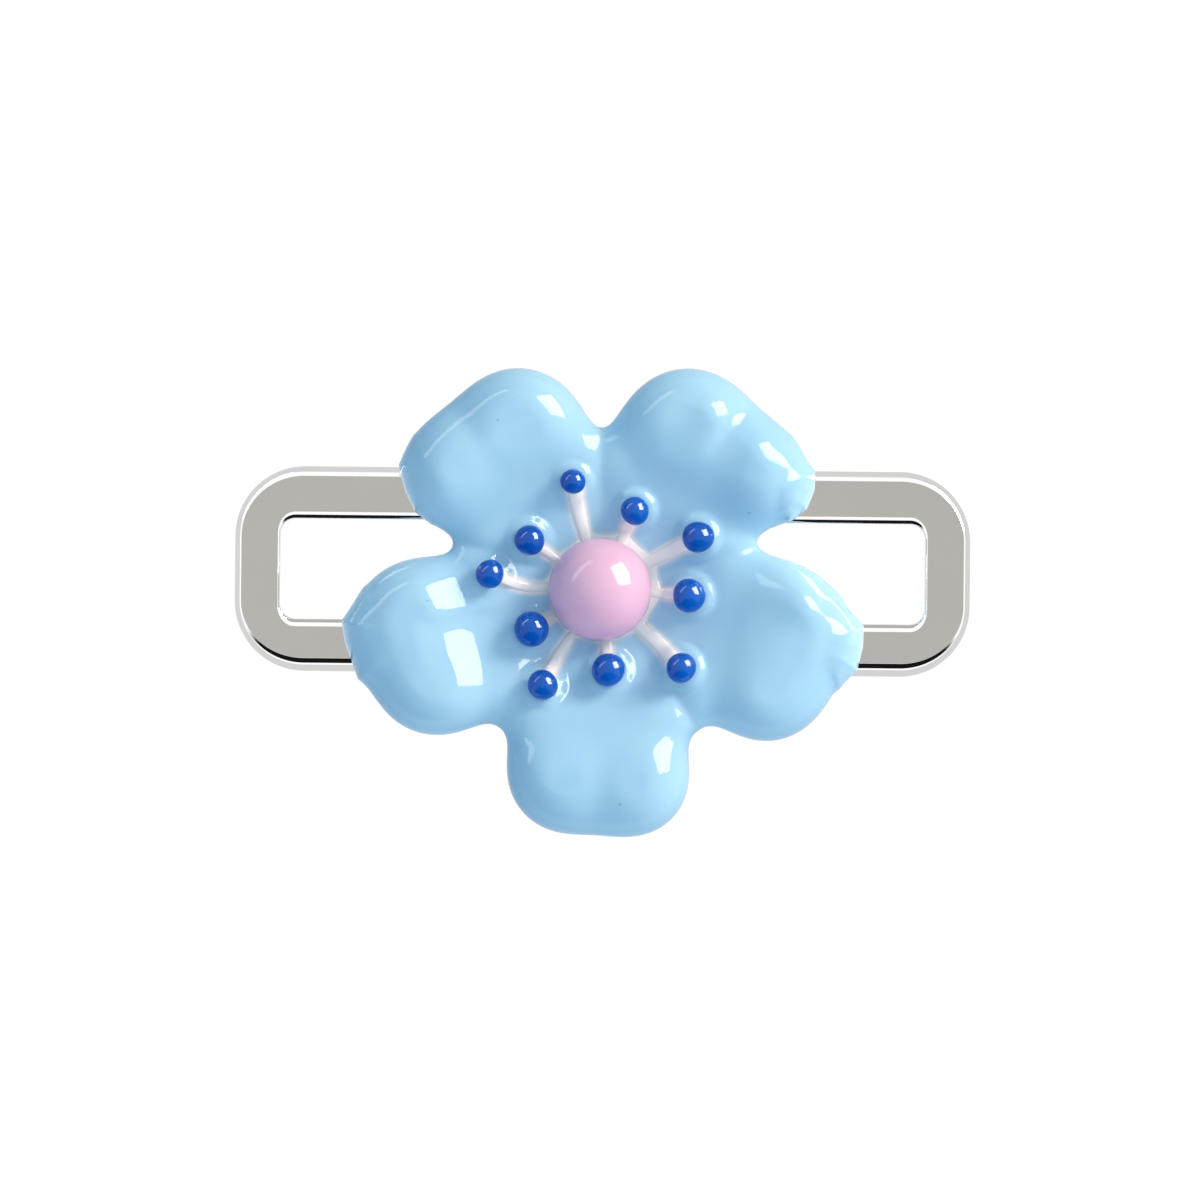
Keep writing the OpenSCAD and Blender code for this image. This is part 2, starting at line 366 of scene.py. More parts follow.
# Rings under the lip, close to the edge and over the rest, and how far in the close ones start
# and end
LIP_RINGS, RIM_RINGS, BODY_RINGS = 8, 26, 71
RIM_FIRST, RIM_LAST = 0.006, 2.2
# Radius of the hole for the peg, and points to a ring
POST_HOLE = 0.6
SPOKES = 1200


def skin_rings(px, py, sunk):
    """Rings of one skin, from its lower edge, round the lip and over the relief to the hole."""
    reach, wet = np.hypot(px, py), wetness(px, py)
    rings = []
    edge = LIP_Z * (1 - wet) + FILM_Z * wet
    under = FACE_Z - WET_UNDER * wet
    lip_in = LIP_IN * (1 - (1 - WET_LIP) * wet)
    for t in np.linspace(0, 1, LIP_RINGS + 1)[:-1]:
        turn = t * math.pi / 2
        f = 1 - (lip_in * (1 - math.sin(turn)) + sunk) / reach
        rings.append((px * f, py * f, under + (edge - under) * (1 - math.cos(turn))))
    for inset in np.concatenate([[0], np.geomspace(RIM_FIRST, RIM_LAST, RIM_RINGS)]):
        f = 1 - (inset + sunk) / reach
        x, y = px * f, py * f
        z = edge if inset == 0 else relief(x, y) - sunk
        rings.append((x, y, np.maximum(z, under)))
    last = 1 - (RIM_LAST + sunk) / reach
    inner = POST_HOLE / reach
    for t in np.linspace(0, 1, BODY_RINGS + 1)[1:]:
        f = last + (inner - last) * t
        x, y = px * f, py * f
        rings.append((x, y, relief(x, y) - sunk))
    return rings


def rings_to_verts(rings):
    """Row-axes points of rings given in flower axes."""
    verts = []
    for x, y, z in rings:
        rx, ry = from_flower(x, y)
        verts.append(np.stack([rx, ry, z], 1))
    return np.concatenate(verts)


def make_enamel(px, py):
    """The coat: its outer skin, and back along its inner one."""
    rings = skin_rings(px, py, 0.0) + skin_rings(px, py, COAT)[::-1]
    faces = ring_faces(len(rings), len(px), closed=True)
    obj = mesh_object("petal_enamel_coat", rings_to_verts(rings), faces)
    x, y = np.concatenate([r[0] for r in rings]), np.concatenate([r[1] for r in rings])
    haze = obj.data.attributes.new("white_haze", "FLOAT", "POINT")
    haze.data.foreach_set("value", whiteness(x, y).astype(np.float32))
    return obj


def make_blank(px, py):
    """The casting that fills the coat, with a flat back at the frame's face."""
    px, py = px[::2], py[::2]
    rings = skin_rings(px, py, COAT)
    count = len(px)
    faces = ring_faces(len(rings), count)
    last = (len(rings) - 1) * count
    faces.append(tuple(range(last, last + count)))
    verts = rings_to_verts(rings)
    middle = len(verts)
    verts = np.vstack([verts, [[FLOWER_AT[0], FLOWER_AT[1], FACE_Z]]])
    faces += [((i + 1) % count, middle, i) for i in range(count)]
    return mesh_object("petal_blank_casting", verts, faces)


# ---------------------------------------------------------------- materials


def material(name):
    """A new material with its node tree and its shader."""
    mat = bpy.data.materials.new(name)
    mat.use_nodes = True
    tree = mat.node_tree
    shader = next(n for n in tree.nodes if n.type == "BSDF_PRINCIPLED")
    return mat, tree, shader


def grey(v):
    """An opaque grey."""
    return (v, v, v, 1)


def blend_colour(tree, factor, a, b, blend="MIX"):
    """Mixes two colours, each a constant or another node's output."""
    node = tree.nodes.new("ShaderNodeMix")
    node.data_type = "RGBA"
    node.blend_type = blend
    for name, value in (("Factor", factor), ("A", a), ("B", b)):
        if isinstance(value, (tuple, float)):
            node.inputs[name].default_value = value
        else:
            tree.links.new(value, node.inputs[name])
    return node.outputs["Result"]


def noise(tree, scale, detail=4, rough=0.5):
    """Noise over object space, its scale in features per metre."""
    coords = tree.nodes.new("ShaderNodeTexCoord")
    tex = tree.nodes.new("ShaderNodeTexNoise")
    tex.inputs["Scale"].default_value = scale
    tex.inputs["Detail"].default_value = detail
    tex.inputs["Roughness"].default_value = rough
    tree.links.new(coords.outputs["Object"], tex.inputs["Vector"])
    return tex


def ramp(tree, source, stops):
    """Colours along a value, from (place, colour) pairs."""
    node = tree.nodes.new("ShaderNodeValToRGB")
    band = node.color_ramp
    while len(band.elements) > 1:
        band.elements.remove(band.elements[-1])
    band.elements[0].position = stops[0][0]
    band.elements[0].color = stops[0][1]
    for place, colour in stops[1:]:
        band.elements.new(place).color = colour
    tree.links.new(source, node.inputs["Fac"])
    return node


def bump(tree, shader, height, strength, depth_mm):
    """Raises a shader's surface by a height map."""
    node = tree.nodes.new("ShaderNodeBump")
    node.inputs["Strength"].default_value = strength
    node.inputs["Distance"].default_value = depth_mm * MM
    tree.links.new(height, node.inputs["Height"])
    tree.links.new(node.outputs["Normal"], shader.inputs["Normal"])


def lacquer(name, dark, base, light, speck=0.0, wave=1.0, gloss=0.12, haze=None):
    """Thick glossy lacquer: slow colour drift, a few dust specks and a slightly wavy skin.

    haze is the colour that shows where the mesh's white_haze attribute is 1.
    """
    mat, tree, shader = material(name)
    drift = noise(tree, 160, detail=3)
    tint = ramp(tree, drift.outputs["Fac"], [(0.3, dark), (0.5, base), (0.72, light)])
    colour = tint.outputs["Color"]
    if speck:
        dust = noise(tree, 1500, detail=1)
        dots = ramp(tree, dust.outputs["Fac"], [(0.79, grey(0)), (0.83, grey(1))])
        spot = tuple(c * (1 - speck) for c in dark[:3]) + (1,)
        colour = blend_colour(tree, dots.outputs["Color"], colour, spot)
    if haze:
        bleed = tree.nodes.new("ShaderNodeAttribute")
        bleed.attribute_name = "white_haze"
        colour = blend_colour(tree, bleed.outputs["Fac"], colour, haze)
    tree.links.new(colour, shader.inputs["Base Color"])
    shader.inputs["Roughness"].default_value = 0.02
    shader.inputs["IOR"].default_value = 1.5
    shader.inputs["Specular IOR Level"].default_value = gloss
    swell = noise(tree, 420, detail=2)
    bump(tree, shader, swell.outputs["Fac"], 0.14 * wave, 0.05)
    return mat


def polished_metal():
    """Bright plating with a faint cloud in its colour, a fine haze and a slow wave."""
    mat, tree, shader = material("polished_plate")
    shader.inputs["Metallic"].default_value = 1.0
    drift = noise(tree, 120, detail=3)
    stops = [(0.3, (0.735, 0.73, 0.715, 1)), (0.7, (0.765, 0.76, 0.745, 1))]
    tint = ramp(tree, drift.outputs["Fac"], stops)
    tree.links.new(tint.outputs["Color"], shader.inputs["Base Color"])
    haze = noise(tree, 900, detail=5)
    rough = ramp(tree, haze.outputs["Fac"], [(0.3, grey(0.03)), (0.8, grey(0.07))])
    tree.links.new(rough.outputs["Color"], shader.inputs["Roughness"])
    swell = noise(tree, 260, detail=2)
    bump(tree, shader, swell.outputs["Fac"], 0.12, 0.03)
    return mat


def cast_metal(name, colour, grain, roughness):
    """Plated casting or solder: satin, with a fine grain in colour, gloss and surface."""
    mat, tree, shader = material(name)
    shader.inputs["Metallic"].default_value = 1.0
    tex = noise(tree, grain, detail=6, rough=0.6)
    dark = tuple(c * 0.82 for c in colour[:3]) + (1,)
    tint = ramp(tree, tex.outputs["Fac"], [(0.35, dark), (0.65, colour)])
    tree.links.new(tint.outputs["Color"], shader.inputs["Base Color"])
    low, high = roughness
    gloss = ramp(tree, tex.outputs["Fac"], [(0.3, grey(low)), (0.75, grey(high))])
    tree.links.new(gloss.outputs["Color"], shader.inputs["Roughness"])
    bump(tree, shader, tex.outputs["Fac"], 0.35, 0.05)
    return mat


# White lacquer that has bled into the blue, then each lacquer's dark, middle and light colour.
# The middle colours are rounded from a least-squares scaling of a test render to the photo.
BLEED = (0.90, 0.875, 0.87, 1)
BLUES = [(0.35, 0.60, 0.80, 1), (0.375, 0.622, 0.815, 1), (0.40, 0.645, 0.83, 1)]
PINKS = [(0.77, 0.445, 0.64, 1), (0.80, 0.475, 0.66, 1), (0.825, 0.51, 0.69, 1)]
WHITES = [(0.88, 0.85, 0.845, 1), (0.92, 0.89, 0.885, 1), (0.94, 0.91, 0.905, 1)]
NAVIES = [(0.001, 0.072, 0.40, 1), (0.002, 0.09, 0.46, 1), (0.003, 0.11, 0.53, 1)]
BLUE = lacquer("blue_lacquer", *BLUES, speck=0.2, haze=BLEED)
PINK = lacquer("pink_lacquer", *PINKS)
WHITE = lacquer("white_lacquer", *WHITES)
NAVY = lacquer("dark_blue_lacquer", *NAVIES, wave=0.4, gloss=0.24)
METAL = polished_metal()
CASTING = cast_metal("plated_casting", (0.62, 0.61, 0.6, 1), 1400, (0.22, 0.38))
SOLDER = cast_metal("plated_solder", (0.66, 0.66, 0.64, 1), 2200, (0.18, 0.34))
POST_WIRE = cast_metal("drawn_wire", (0.7, 0.7, 0.7, 1), 3000, (0.15, 0.3))


def dress(obj, mat, slot, *nodes):
    """Gives a piece its material, hangs it under the root body and hides the CAD nodes it stands
    for; slot is not used.
    """
    obj.data.materials.clear()
    obj.data.materials.append(mat)
    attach(obj, "root")
    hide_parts(*nodes)


def redress(node, mat):
    """New material on a CAD node that stays as it is."""
    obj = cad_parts[node]
    obj.data.materials.clear()
    obj.data.materials.append(mat)


# ---------------------------------------------------------------- frame piece

# Outer corner radius, the window's length, width and corner radius, and the back edge's rounding
CORNER_R = 4.2
WINDOW_L, WINDOW_W, WINDOW_R = 38.6, 6.0, 0.95
BACK_TURN = 0.28
# Width of the strip that keeps the face flat up to its edge
FACE_MARGIN = 0.004
# The frame's edge as facets from its face outwards: width, and tilt at its start and end. The
# polish has worn the bars' edges rounder than the ends', and the lower bar's the most.
SIDE_DRAFT = 75
EDGE_UP = [(0.24, 14, 34), (0.02, 34, 60), (0.33, SIDE_DRAFT, SIDE_DRAFT)]
EDGE_DOWN = [(0.30, 14, 42), (0.12, 47, 53), (0.38, SIDE_DRAFT, SIDE_DRAFT)]
EDGE_END = [(0.07, 14, 34), (0.02, 34, 60), (0.34, SIDE_DRAFT, SIDE_DRAFT)]
WINDOW_UP = [(0.20, 7, 9), (0.23, 36, 40), (0.02, 70, 85)]
WINDOW_DOWN = [(0.20, 7, 9), (0.18, 22, 26), (0.02, 70, 85)]
WINDOW_END = [(0.03, 7, 9), (0.05, 36, 40), (0.02, 70, 85)]


def rounded_loop(half_l, half_w, radius, per_corner=48, per_side=10):
    """Points and outward normals round a rectangle with rounded corners."""
    points, normals = [], []
    corners = [(1, 1, 0), (-1, 1, 90), (-1, -1, 180), (1, -1, 270)]
    for n, (sx, sy, start) in enumerate(corners):
        for i in range(per_corner + 1):
            a = math.radians(start + 90 * i / per_corner)
            normals.append((math.cos(a), math.sin(a)))
            x = sx * (half_l - radius) + radius * math.cos(a)
            points.append((x, sy * (half_w - radius) + radius * math.sin(a)))
        nx, ny, _ = corners[(n + 1) % 4]
        a = math.radians(start + 90)
        gx, gy = nx * (half_l - radius), ny * (half_w - radius)
        ex, ey = points[-1]
        gx, gy = gx + radius * math.cos(a), gy + radius * math.sin(a)
        for i in range(1, per_side):
            t = i / per_side
            points.append((ex + (gx - ex) * t, ey + (gy - ey) * t))
            normals.append((math.cos(a), math.sin(a)))
    return np.array(points), np.array(normals)


def facet_steps(facets, steps=6):
    """Distance from the face's edge and drop below it, along a list of facets."""
    away, drop = [0.0], [0.0]
    for width, start, end in facets:
        for k in range(steps):
            tilt = math.radians(start + (end - start) * (k + 0.5) / steps)
            away.append(away[-1] + width / steps)
            drop.append(drop[-1] + width / steps * math.tan(tilt))
    return np.array(away), np.array(drop)


def edge_loops(points, normals, up, down, end, inward):
    """Loops along an edge, from the face to the edge's own outline, blended by direction."""
    nx, ny = normals[:, 0], normals[:, 1]
    shares = [np.maximum(ny, 0) ** 2, np.minimum(ny, 0) ** 2, nx**2]
    steps = [facet_steps(f) for f in (up, down, end)]
    loops = []
    for k in range(len(steps[0][0])):
        away = sum(s * (step[0][-1] - step[0][k]) for s, step in zip(shares, steps))
        drop = sum(s * step[1][k] for s, step in zip(shares, steps))
        at = points + inward * normals * away[:, None]
        loops.append(np.column_stack([at, FACE_Z - drop]))
    return loops


def make_frame():
    """The whole frame as loops: up the outer side, over the face and down into the window."""
    half_l, half_w = FRAME_HIGH[0], FRAME_HIGH[1]
    out_points, out_normals = rounded_loop(half_l, half_w, CORNER_R)
    in_points, in_normals = rounded_loop(WINDOW_L / 2, WINDOW_W / 2, WINDOW_R)
    outer = edge_loops(out_points, out_normals, EDGE_UP, EDGE_DOWN, EDGE_END, -1)
    inner = edge_loops(in_points, in_normals, WINDOW_DOWN, WINDOW_UP, WINDOW_END, 1)
    loops = []
    turn = [math.pi / 2 * i / 8 for i in range(9)]
    last = outer[-1]
    for a in turn[:-1]:
        at = out_points - out_normals * BACK_TURN * (1 - math.sin(a))
        z = np.minimum(BACK_TURN, last[:, 2]) * (1 - math.cos(a))
        loops.append(np.column_stack([at, z]))
    loops += outer[::-1]
    for edge, normals, sign in ((outer[0], out_normals, -1), (inner[0], in_normals, 1)):
        hold = edge.copy()
        hold[:, :2] += sign * normals * FACE_MARGIN
        loops.append(hold)
    loops += inner
    for a in turn[::-1]:
        at = in_points + in_normals * BACK_TURN * (1 - math.sin(a))
        loops.append(np.column_stack([at, np.full(len(at), BACK_TURN * (1 - math.cos(a)))]))
    faces = [f[::-1] for f in ring_faces(len(loops), len(out_points), closed=True)]
    return mesh_object("polished_frame", np.concatenate(loops), faces)


# ---------------------------------------------------------------- centre pieces

# Rounding of the corner between the bead's flat base and its ball, and the ball's rings
BASE_ROUND = 0.12
BALL_RINGS = 48


def make_bead():
    """A lacquered ball with a flat base, its base's edge rounded over."""
    low = math.asin((BEAD_Z - BEAD_BASE) / BEAD_R)
    turn = [-low + (math.pi / 2 + low) * i / BALL_RINGS for i in range(BALL_RINGS + 1)]
    ball_radii = [BEAD_R * math.cos(a) for a in turn]
    ball_heights = [BEAD_Z + BEAD_R * math.sin(a) for a in turn]
    # The corner: the base's rim stops short of it, and the ball's first ring is lifted off it
    rim = ball_radii[0]
    ball_heights[0] += 0.5 * BASE_ROUND
    ball_radii[-1] = 0
    radii = [0, rim - 2 * BASE_ROUND, rim - 0.7 * BASE_ROUND] + ball_radii
    heights = [BEAD_BASE, BEAD_BASE, BEAD_BASE + 0.05 * BASE_ROUND] + ball_heights
    obj = lathe("pink_bead", radii, heights, spokes=128)
    x, y = FLOWER_AT
    obj.data.transform(Matrix.Translation(Vector((x, y, 0)) * MM))
    return obj


# The white puddle: its radius, then how much, where and how widely it bulges to the upper right
# and at each wire
HUB_R = 2.98
HUB_BULGE, BULGE_AT, BULGE_SPREAD = 0.5, 0.45, 1.3
WIRE_BULGE, WIRE_SPREAD = 0.3, 0.19
# Its hole for the peg, its thickness, how far its edge is sunk in the lacquer, how far its base
# lies below the dish, the base's share of its outline, and the raised seat under the bead
HUB_HOLE = 0.55
PUDDLE_T = 0.25
HUB_SINK, HUB_BASE = 0.04, 0.1
BASE_SHARE = 0.98
SEAT_R, SEAT_T = 2.6, 0.3


def turned(a, b):
    """Angle from b to a, between minus and plus half a turn."""
    return np.angle(np.exp(1j * (a - b)))


def hub_reach(a):
    """Outer radius of the white puddle in direction a."""
    r = HUB_R + HUB_BULGE * np.exp(-((turned(a, BULGE_AT) / BULGE_SPREAD) ** 2))
    for s in anthers.values():
        off = turned(a, math.atan2(s["y"], s["x"]))
        r = r + WIRE_BULGE * np.exp(-((off / WIRE_SPREAD) ** 2))
    return r


def make_hub():
    """An uneven white puddle round the bead's base, with a hole for the peg."""
    spokes = 360
    a = np.linspace(0, 2 * math.pi, spokes + 1)[:-1]
    reach = hub_reach(a)
    base = np.full(spokes, DISH_Z - HUB_BASE)
    rings = [(r * np.cos(a), r * np.sin(a), base) for r in (HUB_HOLE, reach * BASE_SHARE)]
    for t in np.linspace(1, 0, 40):
        r = HUB_HOLE + (reach - HUB_HOLE) * t
        x, y = r * np.cos(a), r * np.sin(a)
        puddle = PUDDLE_T * np.sqrt(np.maximum(0, 1 - (r / reach) ** 2))
        seat = SEAT_T * (1 - ease((r - SEAT_R) / (BEAD_R - SEAT_R)))
        rings.append((x, y, relief(x, y) - HUB_SINK + puddle + seat))
    verts = rings_to_verts(rings)
    faces = ring_faces(len(rings), spokes, closed=True)
    return mesh_object("white_hub", verts, faces)


# Radius of each wire at the hub and at its tip bead, and its sideways bend
WIRES = {
    1: (0.27, 0.37, 0.12), 2: (0.34, 0.32, 0.0), 3: (0.27, 0.38, 0.05), 4: (0.26, 0.28, 0.0),
    5: (0.34, 0.41, 0.1), 6: (0.30, 0.31, 0.0), 7: (0.13, 0.31, -0.1), 8: (0.20, 0.20, 0.0),
    9: (0.26, 0.28, 0.45), 10: (0.20, 0.21, 0.0),
}
# Where a wire starts, how far short of its bead's centre it ends as a share of the bead's radius,
# and how soon its radius has changed from the one to the other
WIRE_START = 2.4
WIRE_SHORT = 0.5
WIRE_TAPER = 1.6
# Extra width where a wire leaves the hub and where it meets its bead, and over what share of it
FOOT, FOOT_SPREAD = 0.22, 0.14
NECK, NECK_SPREAD = 0.06, 0.12
# A wire's height as a share of its width, and how far it is lifted, as a share of its radius;
# then where it starts to rise to its bead, and how much of the way it goes
WIRE_FLAT = 0.5
WIRE_LIFT = 0.12
RISE_FROM, RISE_SHARE = 0.6, 0.35


def tip_direction(i):
    """Distance from the middle to a tip bead, and the unit vector that way."""
    x, y = anthers[i]["x"], anthers[i]["y"]
    far = math.hypot(x, y)
    return far, x / far, y / far


def wire_path(i, steps=28):
    """Points along a wire and its half width at each, from under the ball to its tip bead."""
    far, ux, uy = tip_direction(i)
    base_r, tip_r, bend = WIRES[i]
    t = np.linspace(0, 1, steps + 1)
    run = WIRE_START + (far - anthers[i]["r"] * WIRE_SHORT - WIRE_START) * t
    side = bend * np.sin(math.pi * t)
    x, y = ux * run - uy * side, uy * run + ux * side
    r = base_r + (tip_r - base_r) * ease(t * WIRE_TAPER)
    foot = FOOT * np.exp(-((t / FOOT_SPREAD) ** 2))
    neck = NECK * np.exp(-(((1 - t) / NECK_SPREAD) ** 2))
    return t, x, y, r + foot + neck


def make_wire(i):
    """A lacquered wire, lying half in the enamel and a little wider at both ends."""
    _, ux, uy = tip_direction(i)
    t, px, py, radii = wire_path(i)
    ground = relief(px, py)
    spokes = 24
    rings = []
    for k in range(len(t)):
        low = ground[k] + radii[k] * WIRE_LIFT
        rise = ease((t[k] - RISE_FROM) / (1 - RISE_FROM)) * RISE_SHARE
        z = low + (anthers[i]["z"] - low) * rise
        for j in range(spokes):
            a = 2 * math.pi * j / spokes
            off = radii[k] * math.cos(a)
            rx, ry = from_flower(px[k] - uy * off, py[k] + ux * off)
            rings.append((rx, ry, z + radii[k] * WIRE_FLAT * math.sin(a)))
    faces = ring_faces(len(t), spokes)
    faces.append(tuple(range(spokes)))
    last = (len(t) - 1) * spokes
    faces.append(tuple(reversed(range(last, last + spokes))))
    return mesh_object(f"stamen_wire_{i}", rings, faces)


# How far the bleed fades out, how far inside the hub's edge it starts to fade, and the share of a
# wire's width that stays fully white
HAZE_OUT = 0.22
HAZE_IN = 0.15
HAZE_WIRE = 0.96


def whiteness(x, y):
    """How much white lacquer has bled over the blue at a place: 1 under the wires and the hub."""
    off = np.hypot(x, y) - hub_reach(np.arctan2(y, x)) + HAZE_IN
    for i in STAMENS:
        _, wx, wy, wr = wire_path(i)
        for k in range(len(wx)):
            off = np.minimum(off, np.hypot(x - wx[k], y - wy[k]) - wr[k] * HAZE_WIRE)
    return np.exp(-((np.maximum(off, 0) / HAZE_OUT) ** 2))


# A tip bead's height as a share of its width, least and range, its two waves in width, and its
# rings
SQUASH_LOW, SQUASH_RANGE = 0.97, 0.05
WAVE_2, WAVE_3 = 0.02, 0.012
TIP_RINGS = 40


def make_tip(i):
    """Dipped lacquer bead, a little uneven from one to the next."""
    s = anthers[i]
    rng = np.random.default_rng(100 + i)
    squash = SQUASH_LOW + SQUASH_RANGE * rng.random()
    turn = [math.pi * k / TIP_RINGS for k in range(TIP_RINGS + 1)]
    radii = [s["r"] * math.sin(a) for a in turn]
    heights = [-s["r"] * squash * math.cos(a) for a in turn]
    radii[0] = radii[-1] = 0
    phase = rng.random(2) * 2 * math.pi

    def wobble(a):
        return 1 + WAVE_2 * math.sin(2 * a + phase[0]) + WAVE_3 * math.sin(3 * a + phase[1])

    obj = lathe(f"tip_bead_{i}", radii, heights, spokes=72, wobble=wobble)
    x, y = from_flower(s["x"], s["y"])
    obj.data.transform(Matrix.Translation(Vector((x, y, s["z"])) * MM))
    return obj


# ---------------------------------------------------------------- build

px, py = outline_points(SPOKES)

dress(make_frame(), METAL, "polished_metal", "frame")
dress(make_enamel(px, py), BLUE, "blue_enamel", "petal_enamel")
dress(make_blank(px, py), CASTING, "cast_metal", "petal_blank")
dress(make_bead(), PINK, "pink_lacquer", "centre_bead")
dress(make_hub(), WHITE, "white_lacquer", "stamen_hub")
for i in STAMENS:
    dress(make_wire(i), WHITE, "lacquered_wire", f"filament_{i}")
    dress(make_tip(i), NAVY, "dark_blue_lacquer", f"anther_{i}")
redress("bead_post", POST_WIRE)
redress("solder_upper", SOLDER)
redress("solder_lower", SOLDER)


# ---------------------------------------------------------------- studio

# The floor's half width, and how far it lies below the frame
FLOOR_HALF, FLOOR_DROP = 600, 0.02


def make_floor():
    """A pale floor just under the frame, kept out of the metal's reflections."""
    corners = [(-1, -1), (1, -1), (1, 1), (-1, 1)]
    verts = [(x * FLOOR_HALF, y * FLOOR_HALF, -FLOOR_DROP) for x, y in corners]
    floor = mesh_object("floor", verts, [(0, 1, 2, 3)], smooth=False)
    mat, _, shader = material("pale_floor")
    shader.inputs["Base Color"].default_value = grey(0.05)
    shader.inputs["Roughness"].default_value = 0.9
    shader.inputs["Specular IOR Level"].default_value = 0.0
    shader.inputs["Emission Color"].default_value = grey(1)
    shader.inputs["Emission Strength"].default_value = 0.98
    floor.data.materials.append(mat)
    floor.visible_glossy = floor.visible_diffuse = False


# Light for matt surfaces: an even part, and broad glows with their directions. The strengths
# came out of a least-squares fit to the photo, with the tints given separately.
GLOW_ALL = (0.32, 0.49, 0.61, 1)
GLOWS = [
    ((0.781, 0.568, 0.259), (0.437, 0.38, 0.266, 1)),
    ((0.533, -0.733, 0.423), (0.508, 0.462, 0.439, 1)),
]
# What the camera sees past the floor, and the colours of the bands that the metal reflects
BACKDROP = grey(0.98)
CARD_WHITE = (1.35, 1.35, 1.37, 1)
CARD_BLACK = (0.01, 0.01, 0.011, 1)
CARD_PALE = (0.58, 0.58, 0.57, 1)
OVERHEAD = (0.605, 0.6, 0.575, 1)
BELOW = (0.80, 0.80, 0.805, 1)
# Steps in height, up being 1, as start and end: under the horizon, the low and high edges of the
# black and the pale card, and straight above; then how far to -Y and +Y the cards begin
HORIZON = (-0.42, -0.38)
BLACK_LOW, BLACK_HIGH = (0.03, 0.06), (0.92, 0.94)
PALE_LOW, PALE_HIGH = (0.05, 0.08), (0.34, 0.37)
ZENITH = (0.988, 0.993)
BLACK_SIDE, PALE_SIDE = (-0.45, -0.75), (0.3, 0.6)


def math_node(tree, operation, a, b=None):
    """One arithmetic node; each side is a number or another node's output."""
    node = tree.nodes.new("ShaderNodeMath")
    node.operation = operation
    for socket, value in zip(node.inputs, (a, b)):
        if value is None:
            continue
        if isinstance(value, (int, float)):
            socket.default_value = value
        else:
            tree.links.new(value, socket)
    return node.outputs[0]


def smooth_step(tree, value, low=0.0, high=1.0):
    """0 to 1 as a value goes from low to high."""
    node = tree.nodes.new("ShaderNodeMapRange")
    node.interpolation_type = "SMOOTHSTEP"
    node.inputs["From Min"].default_value = low
    node.inputs["From Max"].default_value = high
    node.clamp = True
    tree.links.new(value, node.inputs["Value"])
    return node.outputs["Result"]


def add_glow(tree, toward, base, direction, colour):
    """Adds a broad glow centred on a direction to a world colour."""
    dot = tree.nodes.new("ShaderNodeVectorMath")
    dot.operation = "DOT_PRODUCT"
    tree.links.new(toward, dot.inputs[0])
    dot.inputs[1].default_value = Vector(direction).normalized()
    return blend_colour(tree, smooth_step(tree, dot.outputs["Value"]), base, colour, blend="ADD")


def make_world():
    """A studio in bands: white all round, a black card to -Y, a pale one low to +Y, grey above."""
    world = bpy.data.worlds.new("studio")
    bpy.context.scene.world = world
    world.use_nodes = True
    tree = world.node_tree
    background = next(n for n in tree.nodes if n.type == "BACKGROUND")
    coords = tree.nodes.new("ShaderNodeTexCoord")
    split = tree.nodes.new("ShaderNodeSeparateXYZ")
    tree.links.new(coords.outputs["Generated"], split.inputs[0])
    up = split.outputs["Z"]
    squared = math_node(tree, "MULTIPLY", up, up)
    flat = math_node(tree, "SQRT", math_node(tree, "SUBTRACT", 1.0001, squared))
    side = math_node(tree, "DIVIDE", split.outputs["Y"], flat)

    def card(edge, low, high):
        """1 over a card: past a step in the direction and between two steps in height."""
        above_low, above_high = smooth_step(tree, up, *low), smooth_step(tree, up, *high)
        between = math_node(tree, "SUBTRACT", above_low, above_high)
        return math_node(tree, "MULTIPLY", smooth_step(tree, side, *edge), between)

    black = card(BLACK_SIDE, BLACK_LOW, BLACK_HIGH)
    pale = card(PALE_SIDE, PALE_LOW, PALE_HIGH)
    cards = blend_colour(tree, pale, CARD_WHITE, CARD_PALE)
    cards = blend_colour(tree, black, cards, CARD_BLACK)
    above = blend_colour(tree, smooth_step(tree, up, *ZENITH), cards, OVERHEAD)
    seen = blend_colour(tree, smooth_step(tree, up, *HORIZON), BELOW, above)
    glow = GLOW_ALL
    for direction, colour in GLOWS:
        glow = add_glow(tree, coords.outputs["Generated"], glow, direction, colour)
    path = tree.nodes.new("ShaderNodeLightPath")
    lit = blend_colour(tree, path.outputs["Is Diffuse Ray"], seen, glow)
    lit = blend_colour(tree, path.outputs["Is Camera Ray"], lit, BACKDROP)
    tree.links.new(lit, background.inputs["Color"])
    background.inputs["Strength"].default_value = 1.0


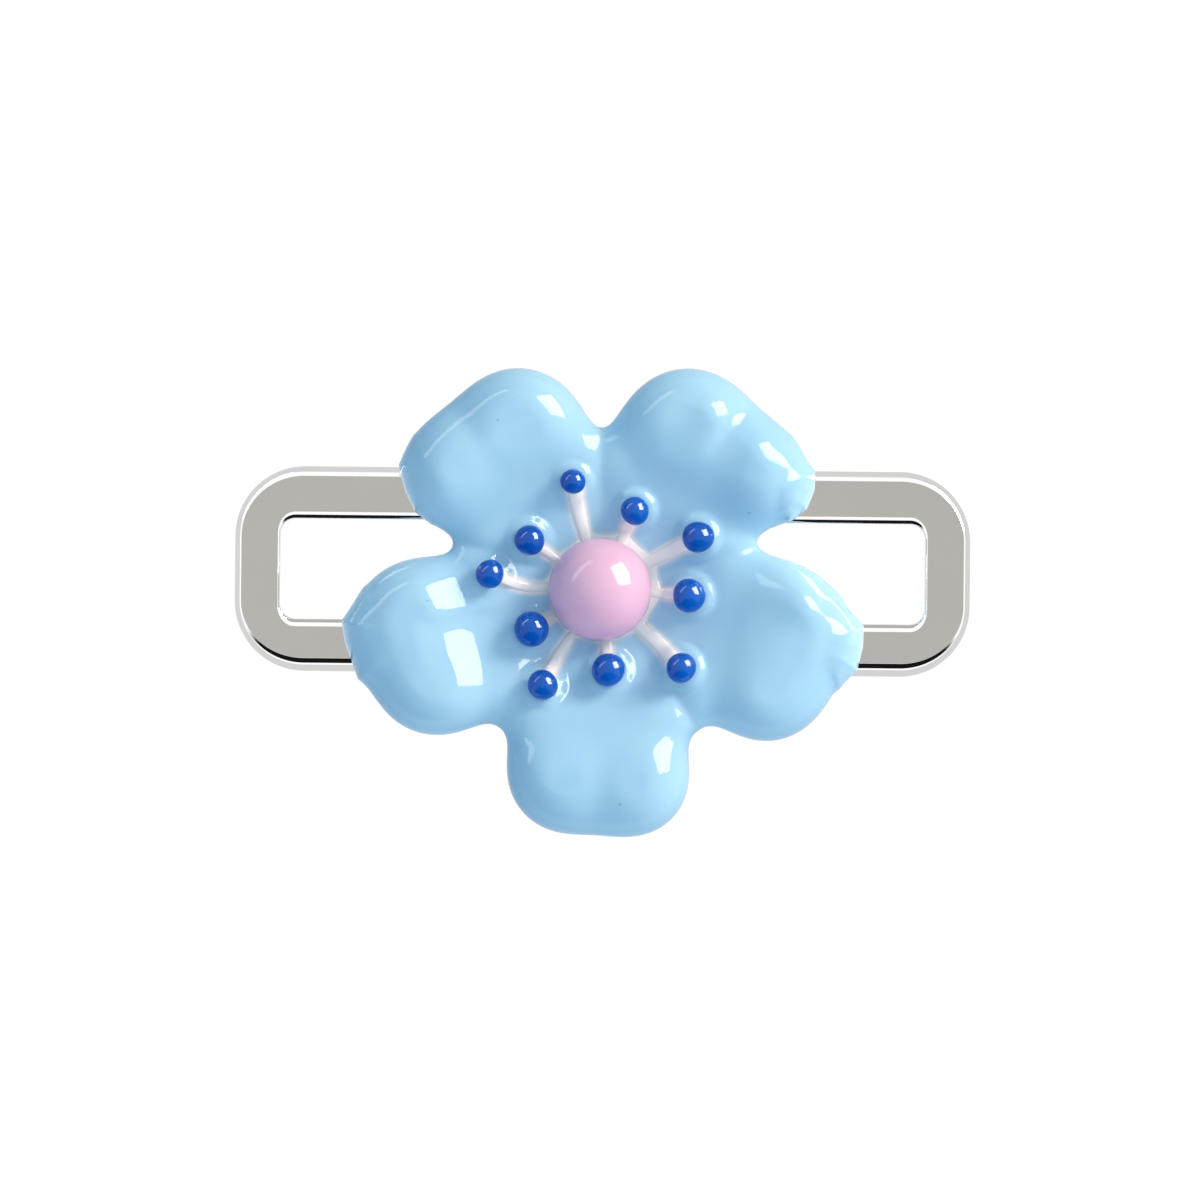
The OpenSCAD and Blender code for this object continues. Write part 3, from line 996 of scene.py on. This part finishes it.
def area_light(name, direction, wide_axis, away_mm, size_mm, radiance, colour=(1, 1, 1)):
    """Soft box that faces the flower; power follows from the radiance asked for."""
    d = Vector(direction).normalized()
    data = bpy.data.lights.new(name, "AREA")
    data.shape = "RECTANGLE"
    data.size, data.size_y = size_mm[0] * MM, size_mm[1] * MM
    data.energy = radiance * math.pi * data.size * data.size_y
    data.color = colour
    obj = bpy.data.objects.new(name, data)
    bpy.context.scene.collection.objects.link(obj)
    x = Vector(wide_axis)
    x = (x - d * x.dot(d)).normalized()
    y = d.cross(x)
    m = Matrix((x, y, d)).transposed().to_4x4()
    m.translation = d * away_mm * MM
    obj.matrix_world = m
    return obj


# The view: its width at the face's height, the camera's height, its turn and its aim
VIEW_W = 71.64
CAMERA_AWAY = 500.0
SENSOR = 36
ROLL = math.radians(0.57)
AIM_OFF = (-0.149, -1.707)


def make_camera():
    """Looks straight down, turned a little, as the photograph does."""
    data = bpy.data.cameras.new("camera")
    data.sensor_width = SENSOR
    data.lens = SENSOR * (CAMERA_AWAY - FACE_Z) / VIEW_W
    data.clip_start = 0.01
    data.clip_end = 20
    obj = bpy.data.objects.new("camera", data)
    bpy.context.scene.collection.objects.link(obj)
    c, s = math.cos(ROLL), math.sin(ROLL)
    x = AIM_OFF[0] * c - AIM_OFF[1] * s
    y = AIM_OFF[0] * s + AIM_OFF[1] * c
    obj.location = Vector((x, y, CAMERA_AWAY)) * MM
    obj.rotation_euler = (0, 0, ROLL)
    bpy.context.scene.camera = obj


# The key's and the fill's directions and the axes along their width, then each light's distance
# with its width and height. The key is two lights: a small warm one for matt surfaces, and a box
# that only gloss mirrors.
KEY_AT, KEY_WIDE = (0.711, 0.514, 0.480), (0.54, 0.04, -0.84)
FILL_AT, FILL_WIDE = (-0.62, 0.62, 0.42), (0.5, 0.5, 0.0)
SOFT_AWAY, SOFT_SIZE = 310, (110, 110)
BOX_AWAY, BOX_SIZE = 300, (190, 240)
FILL_AWAY, FILL_SIZE = 300, (300, 50)
KEY_WARM = (1, 0.833, 0.667)

make_floor()
make_world()
soft = area_light("key_soft", KEY_AT, KEY_WIDE, SOFT_AWAY, SOFT_SIZE, 17.2, colour=KEY_WARM)
soft.visible_glossy = False
gloss = area_light("key_gloss", KEY_AT, KEY_WIDE, BOX_AWAY, BOX_SIZE, 38)
gloss.visible_diffuse = False
fill = area_light("fill", FILL_AT, FILL_WIDE, FILL_AWAY, FILL_SIZE, 9)
fill.visible_diffuse = False
make_camera()
bpy.context.scene.view_settings.view_transform = "Standard"
